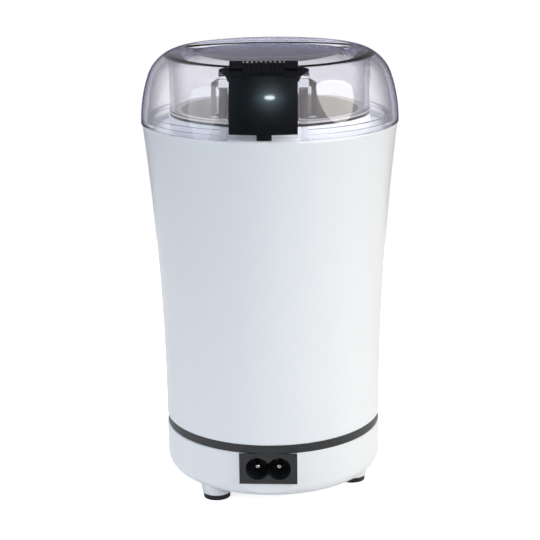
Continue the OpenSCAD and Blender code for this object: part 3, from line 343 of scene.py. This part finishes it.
# ABS, moulded against a spark-eroded tool: dark, with a fine grain that breaks up reflections.
DARK_ABS = Finish("dark_eroded_abs", "#252628", "#202123", 0.36, 0.46, spacing_mm=0.5, relief_mm=0.006,
                  ior=1.54)
# ABS, polished: a faintly blue near black with a high gloss.
BLACK_GLOSS_ABS = Finish("black_polished_abs", "#080b0e", "#0a0d10", 0.3, 0.32, spacing_mm=4, relief_mm=0.002,
                         ior=1.54, coat=0.6, coat_roughness=0.075)
# Nitrile rubber, moulded: black and slightly shiny from handling.
BLACK_RUBBER = Finish("black_moulded_rubber", "#131314", "#1b1b1c", 0.29, 0.42, spacing_mm=0.6,
                      relief_mm=0.015, ior=1.52)
# Nylon, moulded: a dull, dry black.
BLACK_NYLON = Finish("black_moulded_nylon", "#1c1d1f", "#242527", 0.5, 0.62, spacing_mm=0.5, relief_mm=0.02)
# Nylon in its natural colour, moulded: a milky cream.
NATURAL_NYLON = Finish("natural_moulded_nylon", "#ded8c4", "#d2cbb4", 0.4, 0.55, spacing_mm=0.8,
                       relief_mm=0.01)
# Acetal, moulded: a waxy red.
RED_ACETAL = Finish("red_moulded_acetal", "#b8291f", "#a82219", 0.3, 0.42, spacing_mm=0.5, relief_mm=0.01)
# Spinning, turning, drawing and grinding leave finer rings and lines than the picture can show, so the metals
# below have them 0.2 to 0.7 mm apart.
# Stainless steel, spun and polished: rings round the axis.
SPUN_STEEL = Finish("spun_stainless_steel", "#dad7d2", "#cdc9c3", 0.3, 0.36, Pattern.TURNED, 0.7, 0.004,
                    metallic=1.0, anisotropic=0.4)
# Stainless steel, ground: bright, with lines along the blade.
GROUND_STEEL = Finish("ground_stainless_steel", "#c4c3c1", "#b3b2af", 0.19, 0.26, Pattern.DRAWN, 0.25, 0.006,
                      metallic=1.0, anisotropic=0.3)
# Steel, zinc plated: a soft grey shine with cloudy patches.
PLATED_STEEL = Finish("zinc_plated_steel", "#b9b9b4", "#a5a6a3", 0.29, 0.42, spacing_mm=0.8, relief_mm=0.006,
                      drift_mm=5, metallic=1.0)
# Brass, nickel plated: a warm bright silver.
NICKEL_PLATE = Finish("nickel_plated_brass", "#d5d2cb", "#c7c4bc", 0.12, 0.2, Pattern.DRAWN, 0.3, 0.003,
                      drift_mm=3, metallic=1.0)
# Spring steel, drawn: bright grey wire and strip.
SPRING_STEEL = Finish("drawn_spring_steel", "#a9a9ac", "#96969a", 0.19, 0.26, Pattern.DRAWN, 0.2, 0.004,
                      drift_mm=4, metallic=1.0)
# Electrical steel, stamped and stacked in 0.5 mm sheets, drawn at 1 mm so that the sheets show.
SHEET_STACK = Finish("stacked_electrical_steel", "#6d7176", "#5b5f64", 0.35, 0.5, Pattern.STACKED, 1.0, 0.12,
                     metallic=1.0)
# Copper wire, enamelled: orange brown under a clear shiny varnish.
ENAMELLED_COPPER = Finish("enamelled_copper_wire", "#b4622f", "#96491f", 0.29, 0.38, spacing_mm=0.6,
                          relief_mm=0.004, drift_mm=4, metallic=0.8, coat=0.6)
# Copper, turned: pink brown, with level rings from the lathe.
TURNED_COPPER = Finish("turned_copper", "#c27a4e", "#a9623a", 0.29, 0.36, Pattern.STACKED, 0.4, 0.01,
                       drift_mm=4, metallic=1.0)
# Bronze, sintered: matt and porous.
SINTERED_BRONZE = Finish("sintered_bronze", "#9c7340", "#856034", 0.42, 0.56, spacing_mm=0.35, relief_mm=0.02,
                         drift_mm=3, metallic=1.0)
# Brass, drawn: a soft yellow shine with fine lines.
DRAWN_BRASS = Finish("drawn_brass", "#c6a254", "#b39045", 0.29, 0.38, Pattern.DRAWN, 0.3, 0.005,
                     drift_mm=4, metallic=1.0)
# Carbon, pressed: dull and grainy.
PRESSED_CARBON = Finish("pressed_carbon", "#2a2a2c", "#1d1d1f", 0.55, 0.7, spacing_mm=0.3, relief_mm=0.02,
                        drift_mm=2)
# PVC, extruded: an even satin brown.
BROWN_PVC = Finish("brown_extruded_pvc", "#5a3423", "#50301f", 0.35, 0.48, spacing_mm=0.6, relief_mm=0.006,
                   drift_mm=6)
# Polystyrene, moulded against polished steel: clear as glass, with a finely frosted dish and a painted
# lavender shade at its edges.
CLEAR_STYRENE = ClearPlastic("clear_moulded_polystyrene", "#fdfdff", "#37355a", "#a8a5c0", 24.0, 0.48, 0.86)


def dress(finish: Surface, *names: str) -> None:
    """Gives CAD nodes a finish.

    Args:
        finish: the finish to wear.
        names: the nodes.
    """
    material = finish.build()
    for name in names:
        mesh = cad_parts[name].data
        mesh.materials.clear()
        mesh.materials.append(material)
        LOG.info("%s wears %s", name, finish.name)


# ------------------------------------------------------------------ wire

def tubes(paths: np.ndarray, across: np.ndarray, radius: float, sides: int, closed: bool) -> Shape:
    """Round wires carried along paths.

    A ring's point is the path's point plus radius times (cos b * first + sin b * second). There b runs once
    round, first is across made square to the path's direction, and second is that direction crossed with
    first.

    Args:
        paths: points of each wire, in metres, as wires x points x 3.
        across: a direction that is never along the path, one for each point or for all.
        radius: the wire's radius.
        sides: how many sides the round wire is drawn with.
        closed: whether each path comes back to its first point; an open one gets flat ends.

    Returns:
        The points, and the faces as point numbers, turned outwards.
    """
    if closed:
        along = np.roll(paths, -1, axis=1) - np.roll(paths, 1, axis=1)
    else:
        along = np.gradient(paths, axis=1)
    along /= np.linalg.norm(along, axis=2, keepdims=True)
    first = across - along * np.sum(across * along, axis=2, keepdims=True)
    first /= np.linalg.norm(first, axis=2, keepdims=True)
    second = np.cross(along, first)
    b = np.linspace(0, 2 * np.pi, sides, endpoint=False)[:, None]
    rings = paths[:, :, None] + radius * (np.cos(b) * first[:, :, None] + np.sin(b) * second[:, :, None])

    wires, points = paths.shape[:2]
    number = np.arange(wires * points * sides).reshape(wires, points, sides)
    here = number if closed else number[:, :-1]
    after = np.roll(number, -1, axis=1) if closed else number[:, 1:]
    quads = np.stack([here, np.roll(here, -1, axis=2), np.roll(after, -1, axis=2), after], axis=-1)
    faces = [tuple(face) for face in quads.reshape(-1, 4).tolist()]
    if not closed:
        faces += [tuple(face) for face in number[:, 0, ::-1].tolist() + number[:, -1].tolist()]
    return rings.reshape(-1, 3), faces


def wire_piece(name: str, shape: Shape, finish: Surface, body: str, node: str) -> bpy.types.Object:
    """Makes a piece of wire that stands for a CAD node.

    Args:
        name: the piece's name.
        shape: points and faces.
        finish: what it wears.
        body: the CAD body that it moves with.
        node: the CAD node that it replaces.

    Returns:
        The new object, at the origin.
    """
    points, faces = shape
    mesh = bpy.data.meshes.new(name)
    mesh.from_pydata(points.tolist(), [], faces)
    mesh.shade_smooth()
    mesh.materials.append(finish.build())
    piece = add_object(name, mesh)
    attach(piece, body)
    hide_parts(node)
    LOG.info("%s: %d points, wears %s", name, len(points), finish.name)
    return piece


# ------------------------------------------------------------------ the studio

@dataclass(frozen=True)
class SoftBox:
    """An elliptical lamp: its place, the point that it faces and its size in metres, and its power in watts.

    One that doesn't show is left out of gloss. None is seen through the clear lid.
    """

    name: str
    place: Point
    aim: Point
    size: tuple[float, float]
    power: float
    colour: str
    shows: bool = True

    def hang(self) -> None:
        """Hangs the lamp and turns it to its aim."""
        data = bpy.data.lights.new(self.name, "AREA")
        data.shape = "ELLIPSE"
        data.size, data.size_y = self.size
        data.energy = self.power
        data.color = linear(self.colour)[:3]
        lamp = add_object(self.name, data)
        lamp.visible_glossy = self.shows
        lamp.visible_transmission = False
        turn = (Vector(self.place) - Vector(self.aim)).to_track_quat("Z", "Y")
        lamp.matrix_world = Matrix.Translation(self.place) @ turn.to_matrix().to_4x4()


# Points that the lamps face.
MIDDLE = (0, 0, 0.09)
UPPER_BODY = (0, 0, 0.1)
LID_FRONT = (0, 0, 0.16)
# A key from the right, weaker light from the left and the front, and two lamps above and behind. The black
# button mirrors front_glow as a bluish haze with front_lamp as a bright spot in it.
LAMPS = (
    SoftBox("key_box", (1.05, -0.45, 0.6), MIDDLE, (0.8, 1.0), 10.6, "#fffaf2"),
    SoftBox("fill_box", (-0.8, -0.5, 0.35), MIDDLE, (0.5, 0.8), 2.4, "#e6effa"),
    SoftBox("front_soft", (0.1, -1.0, 0.5), UPPER_BODY, (0.6, 0.4), 2.8, "#e4eefa", shows=False),
    SoftBox("front_glow", (0.05, -0.96, 0.58), LID_FRONT, (0.5, 0.14), 0.26, "#86c6ec"),
    SoftBox("front_lamp", (0.05, -0.95, 0.58), LID_FRONT, (0.16, 0.055), 0.85, "#e8f6ff"),
    SoftBox("top_box", (-0.1, 0.35, 0.85), UPPER_BODY, (0.5, 0.35), 3.2, "#ffffff", shows=False),
    SoftBox("rear_box", (-0.5, 0.9, 0.5), MIDDLE, (0.5, 0.5), 3.5, "#f4f8ff", shows=False),
)


@dataclass(frozen=True)
class Wall:
    """A side of the room, laid over the ones before it.

    It is all that a ray meets where the ray's direction has the value whole on the axis, and it fades until
    nothing of it is left at the value gone.
    """

    name: str
    axis: str
    whole: float
    gone: float
    colour: str


# What gloss and scattered light meet, past the floor: over a grey wall on the right come a lighter one on the
# left, dusk below the horizon, a dark front and a grey ceiling.
RIGHT_WALL = "#6a6868"
HORIZON = (-0.02, 0.2)
WALLS = (
    Wall("left_wall", "X", -0.7, 0.7, "#b4b2b6"),
    Wall("backdrop", "Z", *HORIZON, "#5f5e70"),
    Wall("dark_front", "Y", -0.75, -0.2, "#25272b"),
    Wall("ceiling", "Z", 0.95, 0.7, "#4e4d4f"),
)


@dataclass
class Studio:
    """Camera, floor and surroundings, in metres and degrees.

    The camera stands at distance from the axis and at height, looks down by pitch, is tipped by roll and is
    turned round the object by azimuth. Its picture is picture_px wide, has the focal length focal_px and is
    shifted by shift_px.
    """

    picture_px: float = 540.0
    focal_px: float = 1479.2
    sensor_mm: float = 36.0
    distance: float = 0.5819
    height: float = 0.2466
    pitch: float = 15.23
    roll: float = 0.66
    azimuth: float = 2.9
    shift_px: float = 1.59
    nearest: float = 0.02
    farthest: float = 20.0
    floor_side: float = 0.42
    floor_front: float = 0.32
    floor_back: float = 0.4
    paper: str = "#f4f4f4"
    paper_glow: float = 0.7
    clear_share: float = 0.7
    bounces: int = 32

    def camera(self) -> None:
        """Makes the camera at the photograph's viewpoint."""
        data = bpy.data.cameras.new("studio_camera")
        data.sensor_width = self.sensor_mm
        data.lens = self.sensor_mm * self.focal_px / self.picture_px
        data.shift_x = -self.shift_px / self.picture_px
        data.clip_start = self.nearest
        data.clip_end = self.farthest
        camera = add_object("studio_camera", data)
        camera.matrix_world = (Matrix.Rotation(math.radians(self.azimuth), 4, "Z")
                               @ Matrix.Translation((0, -self.distance, self.height))
                               @ Matrix.Rotation(math.radians(90 - self.pitch), 4, "X")
                               @ Matrix.Rotation(math.radians(-self.roll), 4, "Z"))
        bpy.context.scene.camera = camera

    def floor(self) -> None:
        """Lays a pale paper floor that keeps the object's shadow.

        The camera and the clear parts see it with a glow, which brings it up to white away from the shadow.
        """
        side, front, back = self.floor_side, -self.floor_front, self.floor_back
        corners = [(-side, front, 0), (side, front, 0), (side, back, 0), (-side, back, 0)]
        mesh = bpy.data.meshes.new("studio_floor")
        mesh.from_pydata(corners, [], [(0, 1, 2, 3)])
        material = blank_material("studio_floor_paper")
        tree = material.node_tree
        paper = add_node(tree, "ShaderNodeBsdfDiffuse", {"Color": linear(self.paper)})
        glow = add_node(tree, "ShaderNodeEmission", {"Strength": self.paper_glow})
        both = add_node(tree, "ShaderNodeAddShader", {0: paper.outputs["BSDF"], 1: glow.outputs["Emission"]})
        path = add_node(tree, "ShaderNodeLightPath")
        seen = add_node(tree, "ShaderNodeMath", {0: path.outputs["Is Camera Ray"],
                        1: path.outputs["Is Transmission Ray"]}, operation="MAXIMUM")
        mixed = add_node(tree, "ShaderNodeMixShader", {0: seen.outputs["Value"], 1: paper.outputs["BSDF"],
                         2: both.outputs["Shader"]})
        add_node(tree, "ShaderNodeOutputMaterial", {"Surface": mixed.outputs["Shader"]})
        mesh.materials.append(material)
        add_object("studio_floor", mesh)

    def room(self, tree: bpy.types.NodeTree, axes: bpy.types.Node) -> bpy.types.NodeSocket:
        """The room's colour in the direction of a ray.

        Args:
            tree: the world's node tree.
            axes: the parts of the ray's direction.

        Returns:
            The socket that gives the colour.
        """
        met = linear(RIGHT_WALL)
        for wall in WALLS:
            fade = add_node(tree, "ShaderNodeMapRange", {"Value": axes.outputs[wall.axis],
                            "From Min": wall.whole, "From Max": wall.gone},
                            interpolation_type="SMOOTHSTEP", label=wall.name)
            laid = add_node(tree, "ShaderNodeMix", {"Factor": fade.outputs["Result"],
                            "A": linear(wall.colour), "B": met}, data_type="RGBA", label=wall.name)
            met = laid.outputs["Result"]
        return met

    def surroundings(self) -> None:
        """Sets the world.

        The camera sees white wherever it looks. Clear parts see white below the horizon, and above it the
        room with clear_share of white in it. All other rays see the room.
        """
        world = bpy.data.worlds.new("studio_room")
        world.use_nodes = True
        tree = world.node_tree
        tree.nodes.clear()
        way = add_node(tree, "ShaderNodeTexCoord").outputs["Generated"]
        axes = add_node(tree, "ShaderNodeSeparateXYZ", {"Vector": way})
        low, high = HORIZON
        white_share = add_node(tree, "ShaderNodeMapRange", {"Value": axes.outputs["Z"], "From Min": low,
                               "From Max": high, "To Min": 1.0, "To Max": self.clear_share},
                               interpolation_type="SMOOTHSTEP")
        path = add_node(tree, "ShaderNodeLightPath")
        clear = add_node(tree, "ShaderNodeMath", {0: path.outputs["Is Transmission Ray"],
                         1: white_share.outputs["Result"]}, operation="MULTIPLY")
        seen = add_node(tree, "ShaderNodeMath", {0: path.outputs["Is Camera Ray"], 1: clear.outputs["Value"]},
                        operation="MAXIMUM")
        grey = add_node(tree, "ShaderNodeBackground", {"Color": self.room(tree, axes), "Strength": 1.0})
        white = add_node(tree, "ShaderNodeBackground", {"Color": linear("#ffffff"), "Strength": 1.0})
        mixed = add_node(tree, "ShaderNodeMixShader", {0: seen.outputs["Value"],
                         1: grey.outputs["Background"], 2: white.outputs["Background"]})
        add_node(tree, "ShaderNodeOutputWorld", {"Surface": mixed.outputs["Shader"]})
        bpy.context.scene.world = world

    def build(self) -> None:
        """Sets up the whole studio."""
        bpy.context.scene.view_settings.view_transform = "Standard"
        light_paths = bpy.context.scene.cycles
        light_paths.max_bounces = self.bounces
        light_paths.transmission_bounces = self.bounces
        light_paths.glossy_bounces = self.bounces // 2
        self.camera()
        self.floor()
        self.surroundings()
        for lamp in LAMPS:
            lamp.hang()
        LOG.info("studio ready")


# ------------------------------------------------------------------ the object

@dataclass
class Casing:
    """White housing, base cup and the dark band between them."""

    def build(self) -> None:
        """Dresses the casing."""
        dress(WHITE_ABS, "housing", "base_cup")
        dress(DARK_ABS, "trim_band")


@dataclass
class Feet:
    """Rubber pads and the screws above them."""

    def build(self) -> None:
        """Dresses the feet."""
        dress(BLACK_RUBBER, "foot_pads")
        dress(PLATED_STEEL, "base_screws")


@dataclass
class MainsInlet:
    """Figure-8 inlet with its pins and leads."""

    def build(self) -> None:
        """Dresses the inlet."""
        dress(DARK_ABS, "inlet_housing")
        dress(NICKEL_PLATE, "inlet_pins")
        dress(BROWN_PVC, "inlet_leads")


@dataclass
class BowlAndBlades:
    """Steel bowl, its seals and the blades."""

    def build(self) -> None:
        """Dresses the bowl and blades."""
        dress(SPUN_STEEL, "grinding_bowl")
        dress(BLACK_RUBBER, "bowl_gasket", "shaft_seal")
        dress(BLACK_NYLON, "bowl_bush")
        dress(GROUND_STEEL, "lower_blade", "upper_blade")
        dress(PLATED_STEEL, "blade_washer", "blade_nut")


@dataclass
class ArmatureWinding:
    """Wires that cross both ends of the armature from slot to slot.

    Sizes are in millimetres. Each layer's wires leave the slots at slot_r, pass the shaft at its crown_r, and
    rise to its crown_h over the core's face.
    """

    slots: int = 12
    span_slots: int = 5
    wires_a_slot: int = 5
    fan_deg: float = 6.0
    wire_r: float = 0.27
    wire_sides: int = 6
    layer_gap: float = 0.3
    slot_r: tuple[float, ...] = (11.7, 12.1, 12.5)
    crown_r: tuple[float, ...] = (8.6, 6.9, 5.3)
    crown_h: tuple[float, ...] = (2.6, 3.9, 5.2)
    steps: int = 21

    def paths(self) -> np.ndarray:
        """Centre lines over one end, with the core's face at z = 0.

        For t from 0 to 1 the angle runs evenly from one slot to another and fans out with sin(pi t), and the
        radius falls from slot_r to crown_r with sin(pi t). The height is crown_h times the root of sin(pi t),
        plus layer_gap times cos(pi t), so that wires pass over and under each other.

        Returns:
            The points in metres, as wires x points x 3.
        """
        t = np.linspace(0, 1, self.steps)
        swell = np.sin(np.pi * t)
        slot_deg = 360 / self.slots
        start = np.arange(self.slots) * slot_deg
        fan = (np.arange(self.wires_a_slot) - (self.wires_a_slot - 1) / 2) * self.fan_deg
        turn = start[:, None, None] + self.span_slots * slot_deg * t + fan[:, None] * swell
        angle = np.radians(turn.reshape(-1, self.steps))
        layers = np.array([self.slot_r, self.crown_r, self.crown_h])
        slot_r, crown_r, crown_h = layers[:, :, None, None]
        radius = slot_r - (slot_r - crown_r) * swell
        height = crown_h * np.sqrt(np.abs(swell)) + self.layer_gap * np.cos(np.pi * t)
        points = np.broadcast_arrays(radius * np.cos(angle), radius * np.sin(angle), height)
        return np.stack(points, axis=-1).reshape(-1, self.steps, 3) * MM

    def build(self) -> None:
        """Winds both ends; the lower one is the upper one turned over about the X axis."""
        low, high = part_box("armature_core")
        over = self.paths()
        under = over * (1, -1, -1)
        both = np.concatenate([over + (0, 0, high[2]), under + (0, 0, low[2])])
        up_and_out = np.array([0.0, 0.0, 1.0]) + both * (1, 1, 0) / MM
        shape = tubes(both, up_and_out, self.wire_r * MM, self.wire_sides, closed=False)
        wire_piece("armature_winding_wires", shape, ENAMELLED_COPPER, body="rotor", node="armature_winding")


@dataclass
class FieldCoils:
    """Two coils of wire, one on each pole, wound in rows and rings of turns. Sizes are in millimetres."""

    wire_d: float = 0.7
    wire_sides: int = 6
    rows: int = 7
    rings: int = 7
    inner_corner_r: float = 0.9
    corner_points: int = 7

    def paths(self) -> np.ndarray:
        """Centre lines of every turn.

        A turn is a rounded rectangle in X and Z: quarter circles round the corners' centres, joined by
        straight wire. Each ring lies one wire further in than the last, and each row is one wire nearer the
        shaft.

        Returns:
            The points in metres, as turns x points x 3.
        """
        low, high = (np.array(corner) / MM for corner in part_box("field_coils"))
        middle_z = (low[2] + high[2]) / 2
        quarter = np.linspace(0, 90, self.corner_points)
        angle = np.radians(np.concatenate([quarter + start for start in (0, 90, 180, 270)]))
        side_x = np.repeat([1, -1, -1, 1], self.corner_points)
        side_z = np.repeat([1, 1, -1, -1], self.corner_points)
        inward = (np.arange(self.rings) + 0.5) * self.wire_d
        corner_r = (self.inner_corner_r + self.rings * self.wire_d - inward)[:, None]
        reach_x = (high[0] - inward)[:, None] - corner_r
        reach_z = (high[2] - middle_z - inward)[:, None] - corner_r
        x = side_x * reach_x + corner_r * np.cos(angle)
        z = middle_z + side_z * reach_z + corner_r * np.sin(angle)
        depth = high[1] - (np.arange(self.rows) + 0.5) * self.wire_d
        y = np.concatenate([depth, -depth])[:, None, None]
        return np.stack(np.broadcast_arrays(x, y, z), axis=-1).reshape(-1, angle.size, 3) * MM

    def build(self) -> None:
        """Winds both coils."""
        along_y = np.array([0.0, 1.0, 0.0])
        shape = tubes(self.paths(), along_y, self.wire_d / 2 * MM, self.wire_sides, closed=True)
        wire_piece("field_coil_wires", shape, ENAMELLED_COPPER, body="frame", node="field_coils")


@dataclass
class Motor:
    """Universal motor with its fan, brackets and brushes."""

    def build(self) -> None:
        """Dresses the motor and winds it."""
        ArmatureWinding().build()
        FieldCoils().build()
        dress(PLATED_STEEL, "motor_shaft", "stator_bolts", "upper_bracket", "lower_bracket", "motor_screws")
        dress(SHEET_STACK, "armature_core", "stator_stack")
        dress(TURNED_COPPER, "commutator")
        dress(NATURAL_NYLON, "cooling_fan")
        dress(SINTERED_BRONZE, "upper_bearing", "lower_bearing")
        dress(BLACK_RUBBER, "motor_grommets")
        dress(DRAWN_BRASS, "brush_holders")
        dress(PRESSED_CARBON, "carbon_brushes")
        dress(SPRING_STEEL, "brush_springs")


@dataclass
class RodSpring:
    """Spring under the push rod's collar, wound with closed ends. Sizes are in millimetres."""

    wire_r: float = 0.3
    wire_sides: int = 10
    turns: float = 8.0
    closed_turns: float = 1.0
    steps_a_turn: int = 24

    def build(self) -> None:
        """Winds the spring.

        A point is the rod's axis plus the coil's radius at an angle that runs evenly through the turns. The
        height gains one wire a turn in the closed ends and shares out the rest between them.
        """
        low, high = (np.array(corner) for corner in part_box("push_rod_spring"))
        middle = (low + high) / 2
        length = high[2] - low[2]
        wire_r = self.wire_r * MM
        coil_r = (high[0] - low[0]) / 2 - wire_r
        rise = length - 2 * wire_r
        flat = self.closed_turns * 2 * wire_r
        turn = np.linspace(0, self.turns, int(self.turns * self.steps_a_turn) + 1)
        marks = [0, self.closed_turns, self.turns - self.closed_turns, self.turns]
        height = low[2] + wire_r + np.interp(turn, marks, [0, flat, rise - flat, rise])
        angle = 2 * np.pi * turn
        out = np.stack([np.cos(angle), np.sin(angle), np.zeros_like(angle)], axis=-1)
        path = middle * (1, 1, 0) + coil_r * out + height[:, None] * (0, 0, 1)
        shape = tubes(path[None], out[None], wire_r, self.wire_sides, closed=False)
        piece = wire_piece("push_rod_spring_wire", shape, SPRING_STEEL, body="frame", node="push_rod_spring")
        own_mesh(piece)


@dataclass
class Switch:
    """Microswitch and the spring-loaded rod that works it."""

    def build(self) -> None:
        """Dresses the switch and winds its spring."""
        RodSpring().build()
        dress(BLACK_NYLON, "switch_body", "push_rod")
        dress(PLATED_STEEL, "switch_screws")
        dress(SPRING_STEEL, "switch_lever")
        dress(RED_ACETAL, "switch_plunger")


@dataclass
class ClearLid:
    """Clear domed lid."""

    def build(self) -> None:
        """Dresses the lid."""
        dress(CLEAR_STYRENE, "lid_shell", "lid_skirt")


@dataclass
class PressButton:
    """Black button in the lid's pocket."""

    def build(self) -> None:
        """Dresses the button."""
        dress(BLACK_GLOSS_ABS, "press_button")


def main() -> None:
    """Builds the studio and each sub-assembly in order."""
    logging.basicConfig(level=logging.INFO, format="%(message)s")
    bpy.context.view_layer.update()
    Studio().build()
    parts = (Casing(), Feet(), MainsInlet(), BowlAndBlades(), Motor(), Switch(), ClearLid(), PressButton())
    for part in parts:
        part.build()
        LOG.info("%s done", type(part).__name__)


if __name__ == "__main__":
    main()
